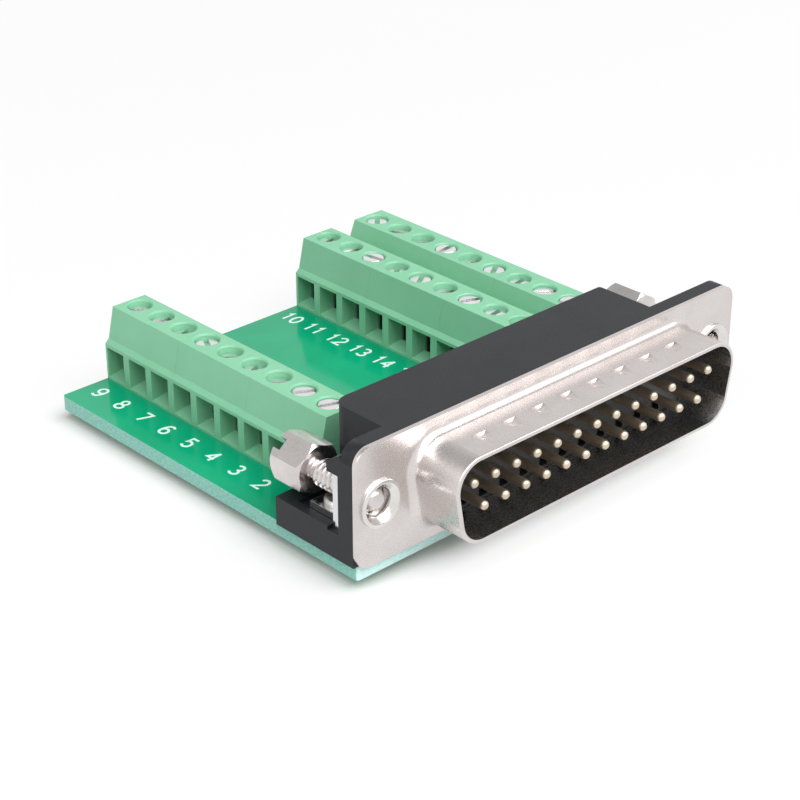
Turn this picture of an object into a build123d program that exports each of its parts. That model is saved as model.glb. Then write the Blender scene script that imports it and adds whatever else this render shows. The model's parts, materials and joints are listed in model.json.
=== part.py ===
from build123d import *
import os
from math import cos, radians, tan

os.makedirs("parts", exist_ok=True)

# A 25-way plug on a breakout board with three rows of screw terminals.
# Millimetres. X runs along the plug, the plug mates towards -Y, and Z is up.
# The origin is the middle of the flange's front face, level with the middle
# of the two pin rows.

# Fits between pieces
seat_gap = 0.05
pin_gap = 0.02
turning_gap = 0.05
cavity_clearance = 0.05

# Plug shell and flange
shell_past_pins = 3.03
screw_past_shell = 3.87
flange_past_screw = 3.0
flange_above_shell = 1.695
flange_thickness = 0.5
flange_corner_radius = 1.7
shell_height = 9.16
shell_wall = 0.4
shell_depth = 5.9
shell_side_lean = radians(10)
shell_corner_radius = 3.0
shell_root_radius = 0.9
shell_back_radius = 0.35
shell_mouth_radius = 0.15
dimple_count = 8
dimple_pitch = 3.83
dimple_row_shift = -0.3
dimple_back = 2.6
dimple_length = 1.9
dimple_width = 2.0
dimple_depth = 0.3

# Contacts
pin_pitch = 2.77
pin_row_spacing = 2.84
upper_pin_count = 13
pin_diameter = 1.0
pin_reach = 5.4
tail_diameter = 0.64
tail_bend_radius = 1.1
lower_tail_y = 4.0
tail_row_spacing = 2.54
tail_below_board = 0.85

# Insulator that carries the pins
insulator_front = 0.8
insulator_back = 1.7
recess_size = 1.1
recess_depth = 0.7
recess_drop = 3.25

# Circuit board
board_above_flange_edge = 0.275
board_thickness = 1.6
board_inset = 0.52
board_edge_gap = 0.05
board_corner_radius = 0.4
tail_hole_diameter = 1.0
pole_hole_diameter = 1.3

# Black housing of the plug
housing_inset = 0.02
plate_back = 2.15
block_beside_screw = 2.12
block_short_end = 5.75
block_back = 8.93
block_left_radius = 1.6
block_right_radius = 0.3
shoulder_back = 7.4
shoulder_top = 2.5
cavity_past_pins = 0.98
cavity_front = 3.3
cavity_back = 7.05
cavity_top = 2.05
tower_back = 4.0
tower_below_flange = 0.845
tower_front_shoulder = 1.88
tower_slope_back = 3.41
tower_slope_below_flange = 1.905
tower_window_top = 2.9
foot_back = 11.35
foot_height = 3.07
foot_rim = 1.0
foot_floor_height = 2.7
foot_pocket_back = 9.23
window_front = 2.5

# Ground clips, inserts and board locks
clip_thickness = 1.2
clip_leg_thickness = 1.1
clip_side_recess = 0.5
clip_leg_back = 7.64
clip_bend_radius = 0.9
insert_barrel_radius = 1.95
insert_ring_radius = 2.45
insert_ring_height = 0.3
insert_rim_radius = 0.13
insert_back = 4.05
insert_funnel_radius = 2.05
insert_funnel_depth = 0.55
lock_y = 5.6
lock_head_radius = 1.5
lock_head_height = 0.55
lock_radius = 1.1
lock_clinch_height = 0.6
lock_chamfer = 0.2

# Jackscrews
jack_thread_diameter = 2.84
jack_thread_pitch = 0.635
jack_thread_depth = 0.34
jack_thread_crest = 0.16
jack_thread_length = 8.1
jack_neck_length = 0.5
jack_hex_flats = 4.76
jack_hex_length = 4.25
jack_hex_chamfer = 0.35
jack_hex_chamfer_length = 0.35
jack_tip_chamfer = 0.3
jack_slot_width = 1.2
jack_slot_depth = 0.95
jack_slot_from_corner = -30
hex_sides = 6
jack_backed_out = {"left": 4.75, "right": 5.8}
jack_hex_turn = {"left": -21, "right": 30}

# Terminal blocks
pole_pitch = 3.81
poles_per_module = 3
modules_per_row = 3
module_gap = 0.02
row_setback = 0.05
row_behind_foot = 1.31
row_gap = 0.1
pole_setback = 1.73
row_a_from_edge = 9.41
row_c_from_edge = 8.2
row_facing = {"a": -1, "b": -1, "c": 1}
screw_behind_front = 3.55
block_depth = 7.3
block_height = 8.13
lip_height = 4.2
bevel_height = 4.65
bevel_depth = 0.5
deck_front = 1.29
deck_back = 5.55
rear_slope_height = 3.8
entry_width = 2.85
entry_floor = 0.3
entry_ceiling = 3.8
entry_floor_rise = 0.35
entry_depth = 1.9
clamp_depth = 3.0
clamp_width = 2.7
clamp_height = 5.1
clamp_floor = 0.45
clamp_roof = 0.8
clamp_side = 0.3
clamp_leaf_thickness = 0.3
clamp_leaf_width = 1.7
clamp_pin_diameter = 1.0
clamp_pin_below_board = 0.8

# Clamp screws
screw_head_radius = 1.2
screw_head_height = 0.9
screw_radius = 1.0
screw_length = 4.6
screw_slot_width = 0.6
screw_slot_depth = 0.5
screw_well_radius = 1.3
screw_well_chamfer = 0.15
screw_end_chamfer = 0.2
screw_rim_chamfer = 0.08
screw_sink = {
    "a": [0.6, 0.55, 0.7, 0.4, 0.75, 0.65, 0.75, 0.25, 0.2],
    "b": [0.55, 0.55, 0.12, 0.55, 0.32, 0.6, 0.22, 0.45, 0.75],
    "c": [0.3, 0.55, 0.65, 0.12, 0.65, 0.27, 0.48, 0.33, 0.15],
}
screw_turn = {
    "a": [-43, -13, 22, 62, -43, 22, -43, -30, -22],
    "b": [0, -20, -81, 46, 32, -22, -22, 8, -43],
    "c": [46, -64, -43, 8, -30, 32, 8, -43, -22],
}

# Solder joints
solder_base_radius = 1.0
solder_tip_radius = 0.55
solder_height = 1.2

# Places worked out from the sizes above
upper_pins = [(i - (upper_pin_count - 1) / 2) * pin_pitch for i in range(upper_pin_count)]
lower_pins = [x + pin_pitch / 2 for x in upper_pins[:-1]]
upper_row_z = pin_row_spacing / 2
lower_row_z = -pin_row_spacing / 2
upper_tail_y = lower_tail_y + tail_row_spacing
half_shell = upper_pins[-1] + shell_past_pins
half_screws = half_shell + screw_past_shell
half_flange = half_screws + flange_past_screw
half_housing = half_flange - housing_inset
half_board = half_flange - board_inset
flange_top = shell_height / 2 + flange_above_shell
jack_x = {"left": -half_screws, "right": half_screws}
block_side = half_screws - block_beside_screw
block_right = block_side - block_short_end
cavity_side = upper_pins[-1] + cavity_past_pins
board_top = board_above_flange_edge - flange_top
board_bottom = board_top - board_thickness
module_length = poles_per_module * pole_pitch
pole_count = poles_per_module * modules_per_row
row_end = foot_back + row_behind_foot + modules_per_row * module_length
board_front = flange_thickness + board_edge_gap
board_back = row_end + row_setback
screw_before_back = block_depth - screw_behind_front
row_screw_x = {"a": row_a_from_edge - half_board, "c": half_board - row_c_from_edge}
row_screw_x["b"] = row_screw_x["c"] - 2 * screw_before_back - row_gap
foot_top = board_top + foot_height
foot_floor = board_top + foot_floor_height
clip_front = window_front + seat_gap
clip_back = clip_front + clip_thickness
clamp_cavity_width = clamp_width + 2 * cavity_clearance
clamp_front = entry_depth + cavity_clearance


def pole_y(number):
    """Y of a pole's screw, counted from the row's far end."""
    return row_end - pole_setback - number * pole_pitch


def pole_places():
    return [(row_screw_x[row], pole_y(i)) for row in "abc" for i in range(pole_count)]


def tail_places():
    return [(x, upper_tail_y) for x in upper_pins] + [(x, lower_tail_y) for x in lower_pins]


def d_outline(sketch, inset):
    """The plug's rounded trapezoid, wide side up, stepped in by inset all round."""
    height = shell_height - 2 * inset
    radius = shell_corner_radius - inset
    spread = radius * (tan(shell_side_lean) + 1 / cos(shell_side_lean) - 1)
    half_top = half_shell - inset + spread
    half_bottom = half_top - height * tan(shell_side_lean)
    top = height / 2
    Polygon((-half_top, top), (half_top, top), (half_bottom, -top), (-half_bottom, -top))
    fillet(sketch.vertices(), radius)


def keep(piece, name):
    piece.part.label = name
    export_step(piece.part, f"parts/{name}.step")


# Circuit board
with BuildPart() as circuit_board:
    with BuildSketch(Plane.XY.offset(board_bottom)):
        with Locations((0, (board_front + board_back) / 2)):
            RectangleRounded(2 * half_board, board_back - board_front, board_corner_radius)
    extrude(amount=board_thickness)
    with BuildSketch(Plane.XY.offset(board_bottom)):
        with Locations(*tail_places()):
            Circle(tail_hole_diameter / 2)
        with Locations(*pole_places()):
            Circle(pole_hole_diameter / 2)
        with Locations(*[(x, lock_y) for x in jack_x.values()]):
            Circle(lock_radius + seat_gap)
    extrude(amount=board_thickness, mode=Mode.SUBTRACT)
keep(circuit_board, "circuit_board")

# Front shell: flange plate and drawn D-shaped skirt in one piece of sheet
dimple_first = dimple_row_shift - (dimple_count - 1) / 2 * dimple_pitch
dimple_places = [dimple_first + i * dimple_pitch for i in range(dimple_count)]
dimple_axis_rise = ((dimple_width / 2) ** 2 - dimple_depth**2) / (2 * dimple_depth)
dimple_axis_z = shell_height / 2 + dimple_axis_rise


def dimple_cones(wall, mode):
    """Cones lying over the skirt, deepest at their back, so that each dents the skin in a fan."""
    for x in dimple_places:
        with BuildSketch(Plane.XY.offset(dimple_axis_z)) as half:
            Polygon(
                (x, wall - dimple_back),
                (x + dimple_axis_rise + dimple_depth + wall, wall - dimple_back),
                (x + dimple_axis_rise + wall, -dimple_back - dimple_length),
                (x, -dimple_back - dimple_length),
            )
        revolve(half.sketch, axis=Axis((x, 0, dimple_axis_z), (0, 1, 0)), mode=mode)


with BuildPart() as dimple_bumps:
    dimple_cones(shell_wall, Mode.ADD)
    with Locations((0, -shell_depth / 2, shell_height / 2 - shell_wall)):
        Box(2 * half_shell, shell_depth, 2 * shell_wall, mode=Mode.INTERSECT)

with BuildPart() as front_shell:
    with BuildSketch(Plane.XZ):
        RectangleRounded(2 * half_flange, 2 * flange_top, flange_corner_radius)
    extrude(amount=-flange_thickness)
    with BuildSketch(Plane.XZ) as skirt:
        d_outline(skirt, 0)
    extrude(amount=shell_depth)
    fillet(front_shell.edges().group_by(Axis.Y)[0], shell_mouth_radius)
    root_edges = (
        front_shell.edges()
        .filter_by_position(Axis.Y, -seat_gap, seat_gap)
        .filter_by_position(Axis.X, -half_shell - seat_gap, half_shell + seat_gap)
        .filter_by_position(Axis.Z, -shell_height / 2 - seat_gap, shell_height / 2 + seat_gap)
    )
    fillet(root_edges, shell_root_radius)
    with BuildSketch(Plane.XZ.offset(shell_depth)) as mouth:
        d_outline(mouth, shell_wall)
    extrude(amount=-shell_depth - flange_thickness, mode=Mode.SUBTRACT)
    back_edges = (
        front_shell.edges()
        .filter_by_position(Axis.Y, flange_thickness - seat_gap, flange_thickness + seat_gap)
        .filter_by_position(Axis.X, -half_shell, half_shell)
        .filter_by_position(Axis.Z, -shell_height / 2, shell_height / 2)
    )
    fillet(back_edges, shell_back_radius)
    with BuildSketch(Plane.XZ):
        with Locations(*[(x, 0) for x in jack_x.values()]):
            Circle(insert_barrel_radius + seat_gap)
    extrude(amount=-flange_thickness, mode=Mode.SUBTRACT)
    add(dimple_bumps.part)
    dimple_cones(0, Mode.SUBTRACT)
keep(front_shell, "front_shell")

# Insulator that stands in the shell and carries both pin rows
with BuildPart() as pin_insulator:
    with BuildSketch(Plane.XZ.offset(insulator_front)) as body:
        d_outline(body, shell_wall + seat_gap)
    extrude(amount=-insulator_front - insulator_back)
    with BuildSketch(Plane.XZ.offset(insulator_front)):
        with Locations(*[(x, upper_row_z) for x in upper_pins]):
            Circle(tail_diameter / 2 + pin_gap)
        with Locations(*[(x, lower_row_z) for x in lower_pins]):
            Circle(tail_diameter / 2 + pin_gap)
    extrude(amount=-insulator_front - insulator_back, mode=Mode.SUBTRACT)
    with BuildSketch(Plane.XZ.offset(insulator_front)):
        with Locations(*[(x, -recess_drop) for x in upper_pins[1:-1]]):
            Rectangle(recess_size, recess_size)
    extrude(amount=-recess_depth, mode=Mode.SUBTRACT)
keep(pin_insulator, "pin_insulator")

# Black housing: flange plate, rear block, side towers and feet in one moulding
tower_outline = [
    (plate_back, board_top),
    (foot_back, board_top),
    (foot_back, foot_top),
    (tower_back, foot_top),
    (tower_back, flange_top - tower_slope_below_flange - (tower_back - tower_slope_back)),
    (tower_slope_back, flange_top - tower_slope_below_flange),
    (plate_back, flange_top - tower_below_flange - (plate_back - tower_front_shoulder)),
]

with BuildPart() as connector_housing:
    with BuildSketch(Plane.XZ.offset(-flange_thickness)):
        with Locations((0, (flange_top + board_top) / 2)):
            plate = Rectangle(2 * half_housing, flange_top - board_top)
        fillet(plate.vertices().group_by(Axis.Y)[-1], flange_corner_radius)
    extrude(amount=-(plate_back - flange_thickness))
    with BuildSketch(Plane.XY.offset(board_top)) as block:
        with Locations(((block_right - block_side) / 2, (plate_back + block_back) / 2)):
            Rectangle(block_side + block_right, block_back - plate_back)
        rear_corners = block.vertices().group_by(Axis.Y)[-1].sort_by(Axis.X)
        fillet(rear_corners[0], block_left_radius)
        rear_corners = block.vertices().group_by(Axis.Y)[-1].sort_by(Axis.X)
        fillet(rear_corners[-1], block_right_radius)
    extrude(amount=flange_top - board_top)
    with BuildSketch(Plane.XY.offset(board_top)):
        with Locations(((block_right + block_side) / 2, (plate_back + shoulder_back) / 2)):
            Rectangle(block_side - block_right, shoulder_back - plate_back)
    extrude(amount=shoulder_top - board_top)
    for side in (-1, 1):
        with BuildSketch(Plane.YZ.offset(side * half_housing)):
            Polygon(*tower_outline)
        extrude(amount=-side * (half_housing - block_side))
    window_height = tower_window_top - foot_floor
    for side in (-1, 1):
        with BuildSketch(Plane.YZ.offset(side * half_housing)):
            with Locations(((window_front + tower_back) / 2, foot_floor + window_height / 2)):
                Rectangle(tower_back - window_front, window_height)
        extrude(amount=-side * (half_housing - block_side), mode=Mode.SUBTRACT)
        with BuildSketch(Plane.YZ.offset(side * (half_housing - foot_rim))):
            with Locations(((window_front + foot_pocket_back) / 2, (foot_floor + foot_top) / 2)):
                Rectangle(foot_pocket_back - window_front, foot_top - foot_floor)
        extrude(amount=-side * (half_housing - foot_rim - block_side), mode=Mode.SUBTRACT)
    with BuildSketch(Plane.XZ.offset(-flange_thickness)) as pocket:
        d_outline(pocket, shell_wall)
    extrude(amount=-(insulator_back - flange_thickness), mode=Mode.SUBTRACT)
    with BuildSketch(Plane.XZ.offset(-flange_thickness)):
        with Locations(*[(x, upper_row_z) for x in upper_pins]):
            Circle(tail_diameter / 2 + pin_gap)
        with Locations(*[(x, lower_row_z) for x in lower_pins]):
            Circle(tail_diameter / 2 + pin_gap)
    extrude(amount=-(cavity_front - flange_thickness), mode=Mode.SUBTRACT)
    with BuildSketch(Plane.XY.offset(board_top)):
        with Locations((0, (cavity_front + cavity_back) / 2)):
            Rectangle(2 * cavity_side, cavity_back - cavity_front)
    extrude(amount=cavity_top - board_top, mode=Mode.SUBTRACT)
    with BuildSketch(Plane.XZ.offset(-flange_thickness)):
        with Locations(*[(x, 0) for x in jack_x.values()]):
            Circle(insert_barrel_radius + seat_gap)
    extrude(amount=-(window_front - flange_thickness), mode=Mode.SUBTRACT)
    with BuildSketch(Plane.XY.offset(board_top)):
        with Locations(*[(x, lock_y) for x in jack_x.values()]):
            Circle(lock_radius + seat_gap)
    extrude(amount=foot_floor_height, mode=Mode.SUBTRACT)
keep(connector_housing, "connector_housing")


def contact_row(places, height, tail_y):
    """A row of bent contacts: a pin with a domed tip up to the insulator, then a thinner tail."""
    with BuildPart() as row:
        for x in places:
            with BuildSketch(Plane.XZ.offset(pin_reach)):
                with Locations((x, height)):
                    Circle(pin_diameter / 2)
            extrude(amount=insulator_front - pin_reach)
        tips = row.edges().group_by(Axis.Y)[0]
        fillet(tips, pin_diameter / 2 - pin_gap)
        for x in places:
            with BuildLine(Plane.YZ.offset(x)) as route:
                FilletPolyline(
                    (-insulator_front, height),
                    (tail_y, height),
                    (tail_y, board_bottom - tail_below_board),
                    radius=tail_bend_radius,
                )
            with BuildSketch(Plane.XZ.offset(insulator_front)):
                with Locations((x, height)):
                    Circle(tail_diameter / 2)
            sweep(path=route.wires()[0])
    return row


upper_contacts = contact_row(upper_pins, upper_row_z, upper_tail_y)
keep(upper_contacts, "upper_contacts")

lower_contacts = contact_row(lower_pins, lower_row_z, lower_tail_y)
keep(lower_contacts, "lower_contacts")


def ground_clip(x):
    """L-shaped metal clip: its upright fills the side window, its leg lies in the foot."""
    side = 1 if x > 0 else -1
    inner = block_side + seat_gap
    leg_outer = half_housing - foot_rim - seat_gap
    upright_outer = half_housing - clip_side_recess
    with BuildPart() as clip:
        with BuildSketch(Plane.YZ.offset(side * inner)) as side_view:
            with BuildLine():
                Polyline(
                    (clip_front, tower_window_top - seat_gap),
                    (clip_front, foot_floor),
                    (clip_leg_back, foot_floor),
                    (clip_leg_back, foot_floor + clip_leg_thickness),
                    (clip_back, foot_floor + clip_leg_thickness),
                    (clip_back, tower_window_top - seat_gap),
                    close=True,
                )
            make_face()
            heel = side_view.vertices().sort_by_distance((side * inner, clip_front, foot_floor))[0]
            fillet(heel, clip_bend_radius)
        extrude(amount=side * (upright_outer - inner))
        with BuildSketch(Plane.XY.offset(foot_floor)):
            with Locations((side * (leg_outer + upright_outer) / 2, (clip_back + clip_leg_back) / 2)):
                Rectangle(upright_outer - leg_outer, clip_leg_back - clip_back)
        extrude(amount=clip_leg_thickness, mode=Mode.SUBTRACT)
        with BuildSketch(Plane.XZ.offset(-clip_front)):
            with Locations((x, 0)):
                Circle(insert_barrel_radius + seat_gap)
        extrude(amount=-clip_thickness, mode=Mode.SUBTRACT)
        with BuildSketch(Plane.XY.offset(foot_floor)):
            with Locations((x, lock_y)):
                Circle(lock_radius + seat_gap)
        extrude(amount=clip_leg_thickness, mode=Mode.SUBTRACT)
    return clip


for side, x in jack_x.items():
    keep(ground_clip(x), f"ground_clip_{side}")


def threaded_insert(x):
    """Clinched insert: a raised ring on the flange, a funnel and a long barrel."""
    bore = jack_thread_diameter / 2 + turning_gap
    with BuildPart() as insert:
        with BuildSketch(Plane.XY) as half_section:
            with BuildLine():
                Polyline(
                    (x + insert_funnel_radius, -insert_ring_height),
                    (x + insert_ring_radius, -insert_ring_height),
                    (x + insert_ring_radius, 0),
                    (x + insert_barrel_radius, 0),
                    (x + insert_barrel_radius, insert_back),
                    (x + bore, insert_back),
                    (x + bore, insert_funnel_depth - insert_ring_height),
                    close=True,
                )
            make_face()
            rim = half_section.vertices().group_by(Axis.Y)[0]
            fillet(rim, insert_rim_radius)
        revolve(axis=Axis((x, 0, 0), (0, 1, 0)))
    return insert


for side, x in jack_x.items():
    keep(threaded_insert(x), f"threaded_insert_{side}")


def jackscrew(x, backed_out, turn):
    """Slotted hex jackscrew: its threaded end points to the mating side."""
    head_front = clip_back + backed_out
    tip = head_front - jack_thread_length
    crest = jack_thread_diameter / 2
    root = crest - jack_thread_depth
    neck = head_front - jack_neck_length
    thread_count = int((neck - tip) / jack_thread_pitch)
    outline = [(x, tip), (x + root - jack_tip_chamfer, tip), (x + root, tip + jack_tip_chamfer)]
    for i in range(thread_count):
        start = neck - (thread_count - i) * jack_thread_pitch
        outline.append((x + root, start))
        outline.append((x + crest, start + (jack_thread_pitch - jack_thread_crest) / 2))
        outline.append((x + crest, start + (jack_thread_pitch + jack_thread_crest) / 2))
    outline += [(x + root, neck), (x + root, head_front), (x, head_front)]
    with BuildPart() as screw:
        with BuildSketch(Plane.XY):
            Polygon(*outline)
        revolve(axis=Axis((x, 0, 0), (0, 1, 0)))
        with BuildSketch(Plane.XZ.offset(-head_front)):
            with Locations((x, 0)):
                RegularPolygon(jack_hex_flats / 2, hex_sides, major_radius=False, rotation=turn)
        extrude(amount=-jack_hex_length)
        corner = jack_hex_flats / 2 / cos(radians(180 / hex_sides))
        with BuildSketch(Plane.XY):
            Polygon(
                (x, tip - jack_thread_pitch),
                (x + corner - jack_hex_chamfer, tip - jack_thread_pitch),
                (x + corner - jack_hex_chamfer, head_front),
                (x + corner, head_front + jack_hex_chamfer_length),
                (x + corner, head_front + jack_hex_length - jack_hex_chamfer_length),
                (x + corner - jack_hex_chamfer, head_front + jack_hex_length),
                (x, head_front + jack_hex_length),
            )
        revolve(axis=Axis((x, 0, 0), (0, 1, 0)), mode=Mode.INTERSECT)
        with BuildSketch(Plane.XZ.offset(-head_front - jack_hex_length)):
            with Locations((x, 0)):
                Rectangle(2 * corner, jack_slot_width, rotation=turn + jack_slot_from_corner)
        extrude(amount=jack_slot_depth, mode=Mode.SUBTRACT)
    return screw


for side, x in jack_x.items():
    keep(jackscrew(x, jack_backed_out[side], jack_hex_turn[side]), f"jackscrew_{side}")

# Board locks: rivets through the clips, the feet and the board
lock_top = foot_floor + clip_leg_thickness
with BuildPart() as board_locks:
    for x in jack_x.values():
        with BuildSketch(Plane.XY.offset(lock_top)):
            with Locations((x, lock_y)):
                Circle(lock_head_radius)
        extrude(amount=lock_head_height)
        with BuildSketch(Plane.XY.offset(board_bottom)):
            with Locations((x, lock_y)):
                Circle(lock_radius)
        extrude(amount=lock_top - board_bottom)
        with BuildSketch(Plane.XY.offset(board_bottom)):
            with Locations((x, lock_y)):
                Circle(lock_head_radius)
        extrude(amount=-lock_clinch_height)
    rims = board_locks.edges().filter_by(GeomType.CIRCLE).group_by(Axis.Z)
    chamfer(rims[0] + rims[-1], lock_chamfer)
keep(board_locks, "board_locks")


def terminal_module(row, module):
    """Moulded block of three poles with screw wells, wire entries and clamp chambers."""
    facing = row_facing[row]
    front = row_screw_x[row] + facing * screw_behind_front
    far_end = row_end - module * module_length - module_gap / 2
    near_end = far_end - module_length + module_gap
    poles = range(module * poles_per_module, (module + 1) * poles_per_module)
    well_floor = board_top + clamp_height + cavity_clearance

    def place(depth, height):
        return (front - facing * depth, board_top + height)

    with BuildPart() as block:
        with BuildSketch(Plane.XZ.offset(-far_end)):
            Polygon(
                place(0, 0),
                place(0, lip_height),
                place(bevel_depth, bevel_height),
                place(deck_front, block_height),
                place(deck_back, block_height),
                place(block_depth, rear_slope_height),
                place(block_depth, 0),
            )
        extrude(amount=far_end - near_end)
        for i in poles:
            with BuildSketch(Plane.XZ.offset(-pole_y(i) - entry_width / 2)):
                Polygon(
                    place(-seat_gap, entry_floor),
                    place(-seat_gap, entry_ceiling),
                    place(entry_depth + seat_gap, entry_ceiling),
                    place(entry_depth + seat_gap, entry_floor + entry_floor_rise),
                )
            extrude(amount=entry_width, mode=Mode.SUBTRACT)
            with BuildSketch(Plane.XY.offset(board_top)):
                with Locations((front - facing * (clamp_front + clamp_depth / 2), pole_y(i))):
                    Rectangle(clamp_depth + 2 * cavity_clearance, clamp_cavity_width)
            extrude(amount=clamp_height + cavity_clearance, mode=Mode.SUBTRACT)
            with BuildSketch(Plane.XY.offset(well_floor)):
                with Locations((row_screw_x[row], pole_y(i))):
                    Circle(screw_well_radius)
            extrude(amount=board_top + block_height - well_floor, mode=Mode.SUBTRACT)
        deck = block.faces().filter_by_position(
            Axis.Z, board_top + block_height - pin_gap, board_top + block_height + pin_gap
        )
        chamfer(deck.edges().filter_by(GeomType.CIRCLE), screw_well_chamfer)
    return block


def wire_clamps(row, module):
    """Three metal frames, each with a roof for the screw, a leaf and a solder pin."""
    facing = row_facing[row]
    front = row_screw_x[row] + facing * screw_behind_front
    middle_x = front - facing * (clamp_front + clamp_depth / 2)
    back_x = front - facing * (clamp_front + clamp_depth)
    roof_floor = clamp_height - clamp_roof
    with BuildPart() as clamps:
        for i in range(module * poles_per_module, (module + 1) * poles_per_module):
            y = pole_y(i)
            tip = block_height - screw_sink[row][i] - screw_length
            leaf_top = tip - seat_gap
            with BuildSketch(Plane.YZ.offset(front - facing * clamp_front)):
                with Locations((y, board_top + clamp_height / 2)):
                    Rectangle(clamp_width, clamp_height)
                with Locations((y, board_top + (clamp_floor + roof_floor) / 2)):
                    Rectangle(
                        clamp_width - 2 * clamp_side, roof_floor - clamp_floor, mode=Mode.SUBTRACT
                    )
            extrude(amount=-facing * clamp_depth)
            with BuildSketch(Plane.XY.offset(board_top + roof_floor)):
                with Locations((row_screw_x[row], y)):
                    Circle(screw_radius + turning_gap)
            extrude(amount=clamp_roof, mode=Mode.SUBTRACT)
            with BuildSketch(Plane.XZ.offset(-y)):
                Polygon(
                    (front - facing * (clamp_front + clamp_leaf_thickness), board_top + leaf_top),
                    (back_x, board_top + leaf_top),
                    (back_x, board_top + leaf_top - clamp_leaf_thickness),
                    (
                        front - facing * (clamp_front + clamp_leaf_thickness),
                        board_top + leaf_top - clamp_leaf_thickness,
                    ),
                )
                Polygon(
                    (back_x, board_top + leaf_top - clamp_leaf_thickness),
                    (back_x, board_top + roof_floor),
                    (back_x + facing * clamp_leaf_thickness, board_top + roof_floor),
                    (back_x + facing * clamp_leaf_thickness, board_top + leaf_top - clamp_leaf_thickness),
                )
            extrude(amount=clamp_leaf_width / 2, both=True)
            with BuildSketch(Plane.XY.offset(board_top)):
                with Locations((row_screw_x[row], y)):
                    Circle(clamp_pin_diameter / 2)
            extrude(amount=-board_thickness - clamp_pin_below_board)
    return clamps


def clamp_screw(row, number):
    """Slotted screw sunk in its well; the slot's angle is the one it rests at."""
    top = board_top + block_height - screw_sink[row][number]
    place = (row_screw_x[row], pole_y(number))
    with BuildPart() as screw:
        with BuildSketch(Plane.XY.offset(top)):
            with Locations(place):
                Circle(screw_head_radius)
        extrude(amount=-screw_head_height)
        with BuildSketch(Plane.XY.offset(top - screw_head_height)):
            with Locations(place):
                Circle(screw_radius)
        extrude(amount=screw_head_height - screw_length)
        chamfer(screw.edges().group_by(Axis.Z)[0], screw_end_chamfer)
        chamfer(screw.edges().group_by(Axis.Z)[-1], screw_rim_chamfer)
        with BuildSketch(Plane.XY.offset(top)):
            with Locations(place):
                Rectangle(2 * screw_well_radius, screw_slot_width, rotation=screw_turn[row][number])
        extrude(amount=-screw_slot_depth, mode=Mode.SUBTRACT)
    return screw


for row in "abc":
    for module in range(modules_per_row):
        keep(terminal_module(row, module), f"terminal_block_{row}{module + 1}")
        keep(wire_clamps(row, module), f"wire_clamps_{row}{module + 1}")
    for number in range(pole_count):
        keep(clamp_screw(row, number), f"clamp_screw_{row}{number + 1}")

# Solder joints under the board, each a cone round the end of a tail or pin
with BuildPart() as solder_joints:
    joints = [(place, tail_diameter, tail_below_board) for place in tail_places()]
    joints += [(place, clamp_pin_diameter, clamp_pin_below_board) for place in pole_places()]
    for (x, y), wire_diameter, wire_end in joints:
        with BuildSketch(Plane.YZ.offset(x)):
            Polygon(
                (y, board_bottom),
                (y + solder_base_radius, board_bottom),
                (y + solder_tip_radius, board_bottom - solder_height),
                (y, board_bottom - solder_height),
            )
        revolve(axis=Axis((x, y, 0), (0, 0, 1)))
        with BuildSketch(Plane.XY.offset(board_bottom)):
            with Locations((x, y)):
                Circle(wire_diameter / 2 + pin_gap)
        extrude(amount=-wire_end - pin_gap, mode=Mode.SUBTRACT)
keep(solder_joints, "solder_joints")
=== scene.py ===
import json
import math

import bmesh
import bpy
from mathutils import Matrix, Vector


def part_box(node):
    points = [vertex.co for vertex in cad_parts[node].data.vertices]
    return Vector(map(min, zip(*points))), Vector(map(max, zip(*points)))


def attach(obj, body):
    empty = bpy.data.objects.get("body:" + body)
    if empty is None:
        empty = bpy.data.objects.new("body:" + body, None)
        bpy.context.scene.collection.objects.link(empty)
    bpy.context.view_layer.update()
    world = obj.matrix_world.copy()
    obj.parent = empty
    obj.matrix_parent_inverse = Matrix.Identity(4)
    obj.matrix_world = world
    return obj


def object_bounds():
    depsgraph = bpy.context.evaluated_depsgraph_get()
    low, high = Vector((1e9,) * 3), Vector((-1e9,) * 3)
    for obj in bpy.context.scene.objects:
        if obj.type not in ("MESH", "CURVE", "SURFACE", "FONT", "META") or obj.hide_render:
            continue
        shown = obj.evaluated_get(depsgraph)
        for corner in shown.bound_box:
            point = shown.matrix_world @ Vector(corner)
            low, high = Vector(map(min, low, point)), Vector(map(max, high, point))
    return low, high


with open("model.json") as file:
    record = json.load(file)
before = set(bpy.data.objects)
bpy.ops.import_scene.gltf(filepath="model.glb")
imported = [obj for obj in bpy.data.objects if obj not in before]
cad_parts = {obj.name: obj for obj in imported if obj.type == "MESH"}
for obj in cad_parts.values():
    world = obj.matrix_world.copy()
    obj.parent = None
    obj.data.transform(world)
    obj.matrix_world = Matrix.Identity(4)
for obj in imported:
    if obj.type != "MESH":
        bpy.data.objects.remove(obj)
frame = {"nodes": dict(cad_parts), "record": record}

# Looks of a 25-way plug on a breakout board with three rows of screw terminals.
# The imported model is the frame: X along the plug, the plug mates towards -Y, Z up, metres.

MM = 0.001
nodes_in_frame = frame["nodes"]
cad_low, cad_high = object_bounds()


def add_object(name, data):
    made = bpy.data.objects.new(name, data)
    bpy.context.scene.collection.objects.link(made)
    return made


def aim(thing, place, direction):
    """Puts a camera or a lamp at a place, looking in a direction."""
    thing.location = place
    thing.rotation_mode = "QUATERNION"
    thing.rotation_quaternion = direction.to_track_quat("-Z", "Y")


# Camera, at the photograph's viewing angle
CAMERA_AZIMUTH = math.radians(-43.272)
CAMERA_ELEVATION = math.radians(27.755)
CAMERA_DISTANCE = 213.41 * MM
CAMERA_TARGET = Vector((-2.3, 20.0, -4.77)) * MM
CAMERA_LENS = 92.16
SENSOR_WIDTH = 36.0
CLIP_START = 0.01
CLIP_END = 20.0


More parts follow.
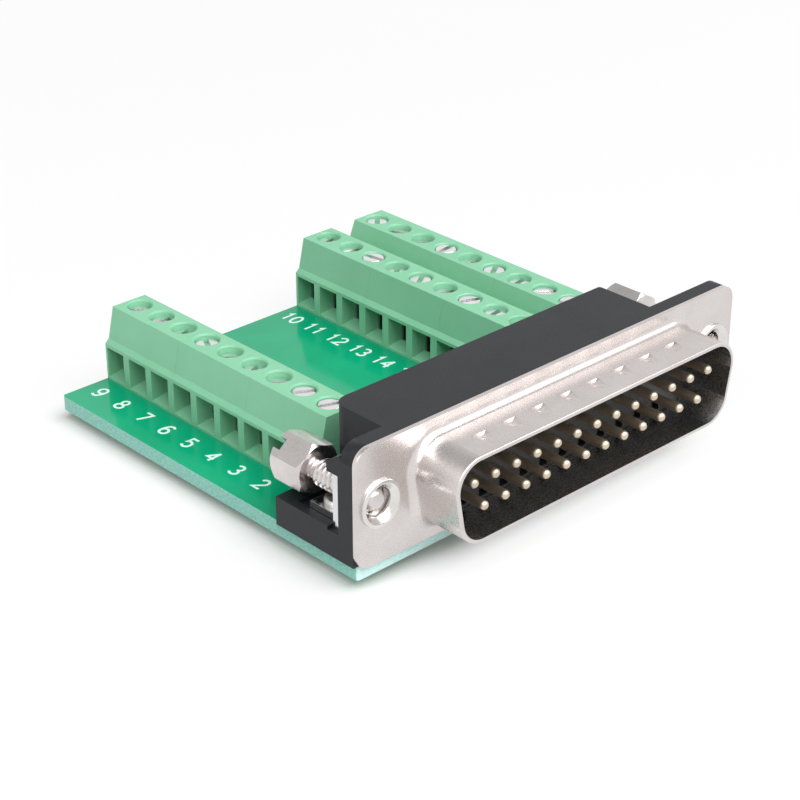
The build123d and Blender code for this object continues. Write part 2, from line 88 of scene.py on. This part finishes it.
def make_camera():
    back = Vector(
        (
            math.sin(CAMERA_AZIMUTH) * math.cos(CAMERA_ELEVATION),
            -math.cos(CAMERA_AZIMUTH) * math.cos(CAMERA_ELEVATION),
            math.sin(CAMERA_ELEVATION),
        )
    )
    data = bpy.data.cameras.new("camera")
    data.lens = CAMERA_LENS
    data.sensor_width = SENSOR_WIDTH
    data.clip_start = CLIP_START
    data.clip_end = CLIP_END
    camera = add_object("camera", data)
    aim(camera, CAMERA_TARGET + back * CAMERA_DISTANCE, -back)
    bpy.context.scene.camera = camera


make_camera()
bpy.context.scene.view_settings.view_transform = "Standard"


# Nearly all of a noise texture's values lie between these two
NOISE_LOW = 0.3
NOISE_HIGH = 0.7
# Size of a normal's part along an axis at which a face begins to count as facing it, and fully does
FACING_FROM = 0.4
FACING_FULL = 0.6
# Distance from the plug's long axis, negative on faces that look towards it, at which such a face
# begins to count as an inner one, and fully does
INNER_FROM = -1 * MM
INNER_FULL = -2 * MM


class Nodes:
    """A node tree, and short ways to add nodes to it. A source is a number, a tuple or a socket."""

    def __init__(self, tree):
        self.tree = tree

    def node(self, kind, **settings):
        made = self.tree.nodes.new(kind)
        for key, value in settings.items():
            setattr(made, key, value)
        return made

    def feed(self, socket, source):
        if isinstance(source, bpy.types.NodeSocket):
            self.tree.links.new(source, socket)
        else:
            socket.default_value = source

    def number(self, operation, first, second=0.0, clamp=False):
        """The result of a Math node."""
        step = self.node("ShaderNodeMath", operation=operation, use_clamp=clamp)
        self.feed(step.inputs[0], first)
        self.feed(step.inputs[1], second)
        return step.outputs["Value"]

    def vector(self, operation, first, second=(0, 0, 0)):
        """The result of a Vector Math node."""
        step = self.node("ShaderNodeVectorMath", operation=operation)
        self.feed(step.inputs[0], first)
        self.feed(step.inputs[1], second)
        return step.outputs["Value" if operation in ("LENGTH", "DOT_PRODUCT") else "Vector"]

    def part(self, vector, axis):
        parts = self.node("ShaderNodeSeparateXYZ")
        self.feed(parts.inputs["Vector"], vector)
        return parts.outputs[axis]

    def span(self, source, low, high, from_low=NOISE_LOW, from_high=NOISE_HIGH):
        """source rescaled to run from low to high."""
        change = self.node("ShaderNodeMapRange")
        change.inputs["From Min"].default_value = from_low
        change.inputs["From Max"].default_value = from_high
        self.feed(change.inputs["To Min"], low)
        self.feed(change.inputs["To Max"], high)
        self.feed(change.inputs["Value"], source)
        return change.outputs["Result"]

    def ray(self, kind):
        return self.node("ShaderNodeLightPath").outputs[kind]

    def seen_directly(self):
        """1 for a ray from the camera, off a glossy face or through glass, and 0 for the others."""
        total = self.ray("Is Camera Ray")
        for kind in ("Is Glossy Ray", "Is Transmission Ray"):
            total = self.number("ADD", total, self.ray(kind), clamp=True)
        return total


class Shader(Nodes):
    """The nodes of a material, with its Principled shader."""

    def __init__(self, name):
        self.material = bpy.data.materials.new(name)
        self.material.use_nodes = True
        super().__init__(self.material.node_tree)
        self.surface = self.tree.nodes["Principled BSDF"]
        self.coordinates = self.node("ShaderNodeTexCoord")

    def set(self, **values):
        """Sets the shader's own sockets, with spaces in their names written as underscores."""
        for key, value in values.items():
            self.surface.inputs[key.replace("_", " ")].default_value = value

    def noise(self, grain, detail=3.0, roughness=0.6, stretch=(1, 1, 1)):
        """Noise with features about grain millimetres wide, divided by stretch on each axis."""
        mapping = self.node("ShaderNodeMapping")
        mapping.inputs["Scale"].default_value = [1 / (grain * MM) * part for part in stretch]
        self.feed(mapping.inputs["Vector"], self.coordinates.outputs["Object"])
        texture = self.node("ShaderNodeTexNoise")
        texture.inputs["Scale"].default_value = 1.0
        texture.inputs["Detail"].default_value = detail
        texture.inputs["Roughness"].default_value = roughness
        self.feed(texture.inputs["Vector"], mapping.outputs["Vector"])
        return texture.outputs["Fac"]

    def tones(self, source, dark, light, from_low=NOISE_LOW, from_high=NOISE_HIGH):
        """A colour that runs from dark to light with source."""
        ramp = self.node("ShaderNodeValToRGB")
        stops = ((from_low, dark), (from_high, light))
        for element, (place, colour) in zip(ramp.color_ramp.elements, stops):
            element.position = place
            element.color = (*colour, 1)
        self.feed(ramp.inputs["Fac"], source)
        return ramp.outputs["Color"]

    def mix(self, factor, first, second):
        blend = self.node("ShaderNodeMix", data_type="RGBA")
        self.feed(blend.inputs["Factor"], factor)
        for source, place in ((first, "A"), (second, "B")):
            socket = next(s for s in blend.inputs if s.name == place and s.type == "RGBA")
            self.feed(socket, (*source, 1) if isinstance(source, tuple) else source)
        return next(s for s in blend.outputs if s.type == "RGBA")

    def colour(self, source):
        self.feed(self.surface.inputs["Base Color"], source)

    def roughness(self, source):
        self.feed(self.surface.inputs["Roughness"], source)

    def bump(self, height, depth, strength):
        """Bumps of about depth millimetres, on top of any set before."""
        bump = self.node("ShaderNodeBump")
        bump.inputs["Strength"].default_value = strength
        bump.inputs["Distance"].default_value = depth * MM
        self.feed(bump.inputs["Height"], height)
        before = self.surface.inputs["Normal"].links
        if before:
            self.feed(bump.inputs["Normal"], before[0].from_socket)
        self.feed(self.surface.inputs["Normal"], bump.outputs["Normal"])

    def facing(self, axis):
        """1 on the faces that look along an axis, either way, and 0 on the others."""
        normal = self.node("ShaderNodeNewGeometry").outputs["Normal"]
        along = self.number("ABSOLUTE", self.part(normal, axis))
        return self.span(along, 0.0, 1.0, FACING_FROM, FACING_FULL)

    def facing_inwards(self):
        """1 on the faces that look towards the plug's long axis, and 0 on the others."""
        level = self.vector("MULTIPLY", self.coordinates.outputs["Normal"], (1, 0, 1))
        outward = self.vector("DOT_PRODUCT", level, self.coordinates.outputs["Object"])
        return self.span(outward, 1.0, 0.0, INNER_FULL, INNER_FROM)


# Materials: sizes of grains and bumps are in millimetres, and roughness is given as lowest, highest
LAMINATE_SIDES = ((0.17, 0.45, 0.36), (0.32, 0.64, 0.56))
# Paler laminate for the edges that face along Y: painted light, as if these edges were lit from the
# front
LAMINATE_ENDS_PAINTED_LIGHT = ((0.52, 0.82, 0.77), (0.68, 0.92, 0.89))
WEAVE_RANGE = (0.35, 0.65)
PLASTIC_BROAD_GRAIN = 6.0
# A metal's broad changes against its fine grain: their width, depth and strength
METAL_BROAD_WIDTH = 25
METAL_BROAD_DEPTH = 2
METAL_BROAD_STRENGTH = 0.3
PLASTIC_BROAD_DEPTH = 3
PLASTIC_BROAD_STRENGTH = 0.15


def solder_mask(name, deep, pale):
    """Glossy green lacquer on the faces, bare glass laminate on the cut edges; the edges that face
    along Y are painted paler than those along X, as painted light from the front.
    """
    shader = Shader(name)
    shader.set(Metallic=0.0, IOR=1.5, Specular_IOR_Level=0.35)
    lacquer = shader.tones(shader.noise(grain=9.0, detail=2.0), deep, pale)
    weave = shader.noise(grain=0.22, detail=4.0, roughness=0.7, stretch=(0.5, 0.5, 1.4))
    sides = shader.tones(weave, *LAMINATE_SIDES, *WEAVE_RANGE)
    # Painted light: the edges that face along Y take the paler laminate
    painted_lit_ends = shader.tones(weave, *LAMINATE_ENDS_PAINTED_LIGHT, *WEAVE_RANGE)
    flat = shader.facing("Z")
    shader.colour(shader.mix(flat, shader.mix(shader.facing("Y"), sides, painted_lit_ends), lacquer))
    shader.roughness(shader.span(flat, low=0.5, high=0.1, from_low=0.0, from_high=1.0))
    shader.bump(shader.noise(grain=0.8, detail=2.0), depth=0.01, strength=0.35)
    shader.bump(weave, depth=0.02, strength=0.2)
    return shader.material


def plated_metal(
    name, dark, light, roughness, grain, depth, strength=0.5, stretch=(1, 1, 1), painted_inner_shade=None
):
    """Plated metal with a fine grain; the last argument, if given, is a darker tone painted on its
    inner faces as painted shade.
    """
    shader = Shader(name)
    shader.set(Metallic=1.0)
    broad = shader.noise(grain * METAL_BROAD_WIDTH, detail=3.0)
    fine = shader.noise(grain, detail=4.0, roughness=0.7, stretch=stretch)
    tone = shader.tones(broad, dark, light)
    # Painted shade: the faces that look towards the plug's axis take the darker inner tone
    if painted_inner_shade:
        tone = shader.mix(shader.facing_inwards(), tone, painted_inner_shade)
    shader.colour(tone)
    shader.roughness(shader.span(fine, *roughness))
    shader.bump(fine, depth, strength)
    shader.bump(broad, depth * METAL_BROAD_DEPTH, strength * METAL_BROAD_STRENGTH)
    return shader.material


def moulded_plastic(name, dark, light, roughness, grain, depth, strength=0.4, **sockets):
    """Moulded plastic: a slight change of tone, and a fine texture from the mould."""
    shader = Shader(name)
    shader.set(Metallic=0.0, IOR=1.5, **sockets)
    broad = shader.noise(PLASTIC_BROAD_GRAIN, detail=3.0)
    fine = shader.noise(grain, detail=3.0)
    shader.colour(shader.tones(broad, dark, light))
    shader.roughness(shader.span(fine, *roughness))
    shader.bump(fine, depth, strength)
    shader.bump(broad, depth * PLASTIC_BROAD_DEPTH, PLASTIC_BROAD_STRENGTH)
    return shader.material


def silkscreen_ink():
    shader = Shader("white_ink")
    shader.set(Metallic=0.0, IOR=1.5)
    wear = shader.noise(grain=0.35, detail=4.0)
    shader.colour(shader.tones(wear, (0.60, 0.85, 0.76), (0.72, 0.93, 0.85), from_high=0.6))
    shader.roughness(shader.span(wear, low=0.4, high=0.6))
    shader.bump(wear, depth=0.01, strength=0.3)
    return shader.material


# The material of each slot in the record
materials = {
    "circuit_board": solder_mask("solder_mask", (0.002, 0.32, 0.155), (0.004, 0.37, 0.185)),
    "plated_shell": plated_metal(
        "nickel_shell",
        dark=(0.65, 0.605, 0.59),
        light=(0.73, 0.685, 0.67),
        roughness=(0.22, 0.34),
        grain=0.2,
        depth=0.008,
        strength=0.4,
        # Darker inner tone: painted shade inside the shell's mouth, not a different finish
        painted_inner_shade=(0.42, 0.42, 0.43),
    ),
    "dark_insulator": moulded_plastic(
        "insulator_plastic",
        dark=(0.016, 0.0155, 0.0155),
        light=(0.022, 0.0215, 0.021),
        roughness=(0.27, 0.33),
        grain=1.4,
        depth=0.003,
        strength=0.2,
        Specular_IOR_Level=0.3,
    ),
    "black_plastic": moulded_plastic(
        "housing_plastic",
        dark=(0.009, 0.010, 0.013),
        light=(0.0135, 0.0145, 0.018),
        roughness=(0.38, 0.52),
        grain=0.14,
        depth=0.01,
        Specular_IOR_Level=0.32,
    ),
    "gold_contact": plated_metal(
        "gold_plate",
        dark=(0.62, 0.52, 0.40),
        light=(0.70, 0.60, 0.47),
        roughness=(0.36, 0.42),
        grain=0.9,
        depth=0.001,
        strength=0.2,
    ),
    "plated_insert": plated_metal(
        "bright_nickel",
        dark=(0.70, 0.68, 0.66),
        light=(0.78, 0.76, 0.74),
        roughness=(0.14, 0.26),
        grain=0.1,
        depth=0.008,
        strength=0.35,
    ),
    "plated_clip": plated_metal(
        "tin_clip",
        dark=(0.66, 0.66, 0.67),
        light=(0.76, 0.76, 0.77),
        roughness=(0.1, 0.2),
        grain=0.2,
        depth=0.006,
        strength=0.4,
    ),
    "board_lock": plated_metal(
        "tin_lock",
        dark=(0.52, 0.51, 0.49),
        light=(0.63, 0.62, 0.6),
        roughness=(0.24, 0.4),
        grain=0.15,
        depth=0.012,
    ),
    "jackscrew_metal": plated_metal(
        "nickel_screw",
        dark=(0.62, 0.58, 0.57),
        light=(0.72, 0.68, 0.67),
        roughness=(0.16, 0.3),
        grain=0.12,
        depth=0.012,
        stretch=(0.3, 3, 0.3),
    ),
    "terminal_plastic": moulded_plastic(
        "green_plastic",
        dark=(0.195, 0.50, 0.305),
        light=(0.22, 0.535, 0.335),
        roughness=(0.36, 0.52),
        grain=0.16,
        depth=0.012,
    ),
    # The clamps' metal is painted darker than bare zinc, as painted shade for their place deep in
    # the screw wells
    "clamp_metal": plated_metal(
        "zinc_clamp_painted_shade",
        dark=(0.22, 0.22, 0.225),
        light=(0.42, 0.42, 0.42),
        roughness=(0.22, 0.45),
        grain=0.3,
        depth=0.04,
        strength=0.8,
    ),
    "screw_metal": plated_metal(
        "nickel_head",
        dark=(0.80, 0.785, 0.795),
        light=(0.90, 0.885, 0.895),
        roughness=(0.14, 0.28),
        grain=0.15,
        depth=0.008,
        stretch=(0.25, 2, 1),
    ),
    "solder": plated_metal(
        "tin_solder",
        dark=(0.60, 0.60, 0.61),
        light=(0.74, 0.74, 0.75),
        roughness=(0.14, 0.32),
        grain=0.3,
        depth=0.02,
    ),
}


def dress_nodes():
    for part in frame["record"]["subparts"]:
        node = nodes_in_frame[part["node"]]
        for holder in node.material_slots:
            holder.material = materials[part["material_slot"]]


dress_nodes()


# Small rounds on the edges that the moulds and presses leave, over the CAD nodes.
# The keys are the starts of the nodes' names
EDGE_ROUNDS = {
    "terminal_block": 0.05 * MM,
    "connector_housing": 0.15 * MM,
    "front_shell": 0.06 * MM,
    "circuit_board": 0.06 * MM,
    "ground_clip": 0.12 * MM,
    "jackscrew": 0.05 * MM,
    "threaded_insert": 0.04 * MM,
    "board_locks": 0.06 * MM,
    "clamp_screw": 0.04 * MM,
    "wire_clamps": 0.04 * MM,
}
ROUND_SEGMENTS = 2
# Edges whose faces turn by more than this are rounded
ROUND_ANGLE = math.radians(35)
WELD_DISTANCE = 0.001 * MM


def round_edges(node, width):
    weld = node.modifiers.new("weld", "WELD")
    weld.merge_threshold = WELD_DISTANCE
    bevel = node.modifiers.new("bevel", "BEVEL")
    bevel.width = width
    bevel.segments = ROUND_SEGMENTS
    bevel.limit_method = "ANGLE"
    bevel.angle_limit = ROUND_ANGLE


for name, node in nodes_in_frame.items():
    for start, width in EDGE_ROUNDS.items():
        if name.startswith(start):
            round_edges(node, width)


# Strips on the board: printed numbers and traces
MITRE_LIMIT = 2.0
# A line is closed where its ends are nearer to each other than this share of half its width
CLOSED_SHARE = 0.01


def offset_line(points, half_width):
    """The line's two borders, mitred at its corners; points are flat vectors."""
    steps = [(end - start).normalized() for start, end in zip(points, points[1:])]
    closed = (points[0] - points[-1]).length < CLOSED_SHARE * half_width
    before = [steps[-1] if closed else steps[0]] + steps
    after = steps + [steps[0] if closed else steps[-1]]
    left, right = [], []
    for point, arriving, leaving in zip(points, before, after):
        along = (arriving + leaving).normalized()
        widen = 1 / max(along.dot(arriving), 1 / MITRE_LIMIT)
        side = Vector((-along.y, along.x)) * half_width * widen
        left.append(point + side)
        right.append(point - side)
    return left, right


def add_ribbon(shape, points, width, bottom, top):
    """A flat strip along the points, from height bottom to height top."""
    left, right = offset_line(points, width / 2)
    rings = []
    for a, b in zip(left, right):
        corners = ((a, bottom), (b, bottom), (b, top), (a, top))
        rings.append([shape.verts.new((p.x, p.y, z)) for p, z in corners])
    for first, second in zip(rings, rings[1:]):
        for k in range(4):
            shape.faces.new((first[k], first[k - 3], second[k - 3], second[k]))
    shape.faces.new(rings[0])
    shape.faces.new(rings[-1][::-1])


def add_piece(name, shape, material, body):
    bmesh.ops.recalc_face_normals(shape, faces=shape.faces)
    mesh = bpy.data.meshes.new(name)
    shape.to_mesh(mesh)
    shape.free()
    mesh.materials.append(material)
    piece = add_object(name, mesh)
    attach(piece, body)


# White terminal numbers on the board, drawn with one stroke width
board_low, board_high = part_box("circuit_board")
POLES = 9
# For each row: the side along X where its numbers stand, its first number and the step to the next
ROW_FACING = {"a": -1, "b": -1, "c": 1}
FIRST_NUMBERS = {"a": 9, "b": 10, "c": 19}
NUMBER_STEPS = {"a": -1, "b": 1, "c": 1}
NUMBER_GAP = 1.65 * MM
NUMBER_SHIFT = -0.47 * MM
DIGIT_HEIGHT = 1.75 * MM
DIGIT_WIDTH = 1.0 * MM
DIGIT_STEP = 1.42 * MM
STROKE_WIDTH = 0.29 * MM
INK_THICKNESS = 0.012 * MM
# Each further stroke of a digit is thicker by this share, so that no two tops meet
STROKE_RISE = 0.3
ARC_STEPS = 12


def arc(centre_x, centre_y, radius_x, radius_y, first, last):
    """Points of an ellipse's arc between two angles in degrees."""
    points = []
    for i in range(ARC_STEPS + 1):
        angle = math.radians(first + (last - first) * i / ARC_STEPS)
        x = centre_x + radius_x * math.cos(angle)
        y = centre_y + radius_y * math.sin(angle)
        points.append((x, y))
    return points


# Each digit's strokes, across from 0 to 1 and up from 0 to 1
DIGIT_STROKES = {
    "0": [arc(0.5, 0.5, 0.5, 0.5, 0, 360)],
    "1": [[(0.2, 0.76), (0.55, 1.0), (0.55, 0.0)]],
    "2": [arc(0.5, 0.7, 0.46, 0.3, 165, -25) + [(0.0, 0.0), (1.0, 0.0)]],
    "3": [arc(0.46, 0.75, 0.44, 0.25, 150, -90), arc(0.48, 0.26, 0.5, 0.26, 85, -150)],
    "4": [[(0.74, 0.0), (0.74, 1.0)], [(0.74, 0.98), (0.02, 0.3), (1.0, 0.3)]],
    "5": [[(0.9, 1.0), (0.14, 1.0), (0.08, 0.55)] + arc(0.46, 0.32, 0.5, 0.32, 130, -145)],
    "6": [arc(0.5, 0.3, 0.5, 0.3, 0, 360), arc(0.62, 0.38, 0.62, 0.62, 180, 55)],
    "7": [[(0.0, 1.0), (1.0, 1.0), (0.36, 0.0)]],
    "8": [arc(0.5, 0.76, 0.4, 0.24, 0, 360), arc(0.5, 0.26, 0.5, 0.26, 0, 360)],
    "9": [arc(0.5, 0.7, 0.5, 0.3, 0, 360), arc(0.38, 0.62, 0.62, 0.62, 0, -125)],
}


def row_front(row):
    low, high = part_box(f"terminal_block_{row}1")
    return low.x if ROW_FACING[row] < 0 else high.x


def pole_y(row, number):
    low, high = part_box(f"clamp_screw_{row}{number + 1}")
    return (low.y + high.y) / 2


def add_number(shape, digits, centre_x, centre_y):
    """The digits as strips on the board that read along -Y, with their tops towards +X."""
    length = DIGIT_STEP * (len(digits) - 1) + DIGIT_WIDTH
    for index, digit in enumerate(digits):
        start_y = centre_y + length / 2 - DIGIT_STEP * index
        for layer, stroke in enumerate(DIGIT_STROKES[digit]):
            points = []
            for across, up in stroke:
                x = centre_x + (up - 0.5) * DIGIT_HEIGHT
                points.append(Vector((x, start_y - across * DIGIT_WIDTH)))
            top = board_high.z + INK_THICKNESS * (1 + STROKE_RISE * layer)
            add_ribbon(shape, points, STROKE_WIDTH, board_high.z, top)


def make_numbers():
    shape = bmesh.new()
    for row in "abc":
        centre_x = row_front(row) + ROW_FACING[row] * (NUMBER_GAP + DIGIT_HEIGHT / 2)
        for number in range(POLES):
            digits = str(FIRST_NUMBERS[row] + NUMBER_STEPS[row] * number)
            add_number(shape, digits, centre_x, pole_y(row, number) + NUMBER_SHIFT)
    add_piece("terminal_numbers", shape, silkscreen_ink(), "board")


make_numbers()

# Copper traces under the lacquer of the board's underside, from the upper contacts to row a
PIN_PITCH = 2.77 * MM
FIRST_PIN_X = -16.62 * MM
UPPER_TAIL_Y = 6.54 * MM
TRACE_WIDTH = 0.5 * MM
TRACE_THICKNESS = 0.03 * MM


def make_traces():
    screw_low, screw_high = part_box("clamp_screw_a1")
    row_x = (screw_low.x + screw_high.x) / 2
    shape = bmesh.new()
    for contact in range(POLES):
        x = FIRST_PIN_X + contact * PIN_PITCH
        y = pole_y("a", POLES - 1 - contact)
        points = [Vector((x, UPPER_TAIL_Y)), Vector((x, y))]
        if contact > 0:
            points.append(Vector((row_x, y)))
        add_ribbon(shape, points, TRACE_WIDTH, board_low.z - TRACE_THICKNESS, board_low.z)
    lacquer = solder_mask("trace_lacquer", (0.03, 0.46, 0.26), (0.04, 0.52, 0.30))
    add_piece("board_traces", shape, lacquer, "board")


make_traces()


# Floor, white where it is seen: a glow takes a share of it that grows with the distance in metres
# from the board. Under and just around the board's outline the glow is cut back, a painted contact
# shadow placed by that outline, through which the lamps' real shadow also shows
floor_height = cad_low.z
FLOOR_HALF = 1.5
FLOOR_WHITE = 0.8
FLOOR_ROUGHNESS = 0.9
UNDER_GLOW_SHARE = 0.1
NEAR_GLOW_SHARE = 0.8
NEAR_REACH = 3.5 * MM
FAR_GLOW_FROM = 0.06
FAR_GLOW_FULL = 0.3


def away_from_board(shader):
    """Metres from the board's outline on the floor, and 0 under the board."""
    middle = (board_low + board_high) / 2
    half = (board_high - board_low) / 2
    place = shader.vector("SUBTRACT", shader.coordinates.outputs["Object"], (middle.x, middle.y, 0))
    # The 1 takes a metre off the height, which leaves the height out
    past_edge = shader.vector("SUBTRACT", shader.vector("ABSOLUTE", place), (half.x, half.y, 1))
    return shader.vector("LENGTH", shader.vector("MAXIMUM", past_edge, (0, 0, 0)))


def floor_material():
    shader = Shader("floor_white")
    shader.set(Base_Color=(FLOOR_WHITE, FLOOR_WHITE, FLOOR_WHITE, 1))
    shader.set(Roughness=FLOOR_ROUGHNESS, Specular_IOR_Level=0.0)
    glow = shader.node("ShaderNodeEmission")
    away = away_from_board(shader)
    # Glow cut back under and near the board: painted contact shadow, with the real shadow showing
    # through it
    near_share = shader.span(away, UNDER_GLOW_SHARE, NEAR_GLOW_SHARE, 0.0, NEAR_REACH)
    far_share = shader.span(away, 0.0, 1 - NEAR_GLOW_SHARE, FAR_GLOW_FROM, FAR_GLOW_FULL)
    share = shader.number("ADD", near_share, far_share)
    both = shader.node("ShaderNodeMixShader")
    shader.feed(both.inputs[0], shader.number("MULTIPLY", share, shader.seen_directly()))
    shader.feed(both.inputs[1], shader.surface.outputs["BSDF"])
    shader.feed(both.inputs[2], glow.outputs["Emission"])
    shader.feed(shader.tree.nodes["Material Output"].inputs["Surface"], both.outputs["Shader"])
    return shader.material


def make_floor():
    mesh = bpy.data.meshes.new("floor")
    signs = ((-1, -1), (1, -1), (1, 1), (-1, 1))
    corners = [(x * FLOOR_HALF, y * FLOOR_HALF, floor_height) for x, y in signs]
    mesh.from_pydata(corners, [], [(0, 1, 2, 3)])
    mesh.materials.append(floor_material())
    floor = add_object("floor", mesh)


make_floor()

# Lamps: place and size in metres, power in watts
LAMP_TARGET = Vector((0, 0.02, 0))
LAMPS = {
    "key": {"place": (-0.2, 0.0, 0.15), "size": (0.2, 0.16), "power": 0.15},
    "fill": {"place": (0.32, -0.44, 0.52), "size": (0.8, 0.5), "power": 1.6},
    "top": {"place": (-0.04, -0.34, 0.64), "size": (0.95, 0.65), "power": 7.4},
}


def add_lamp(name, place, size, power):
    data = bpy.data.lights.new(name, "AREA")
    data.shape = "RECTANGLE"
    data.size, data.size_y = size
    data.energy = power
    lamp = add_object(name, data)
    lamp.visible_camera = False
    aim(lamp, Vector(place), LAMP_TARGET - Vector(place))


for name, lamp in LAMPS.items():
    add_lamp(name, **lamp)

# Sky: its strength as a light, and as seen in glossy faces low and high above the horizon,
# where the rise is the upward part of a direction. The camera sees it white
SKY_LIGHT = 0.2
SKY_LOW_SHINE = 1.0
SKY_HIGH_SHINE = 0.45
SKY_LOW_RISE = 0.35
SKY_HIGH_RISE = 0.9


def make_sky():
    world = bpy.data.worlds.new("sky")
    bpy.context.scene.world = world
    world.use_nodes = True
    sky = Nodes(world.node_tree)
    rise = sky.part(sky.node("ShaderNodeTexCoord").outputs["Generated"], "Z")
    shine = sky.span(rise, SKY_LOW_SHINE, SKY_HIGH_SHINE, SKY_LOW_RISE, SKY_HIGH_RISE)
    strength = sky.span(sky.seen_directly(), SKY_LIGHT, shine, 0.0, 1.0)
    background = sky.tree.nodes["Background"]
    background.inputs["Color"].default_value = (1, 1, 1, 1)
    white_for_camera = sky.number("MAXIMUM", strength, sky.ray("Is Camera Ray"))
    sky.feed(background.inputs["Strength"], white_for_camera)


make_sky()
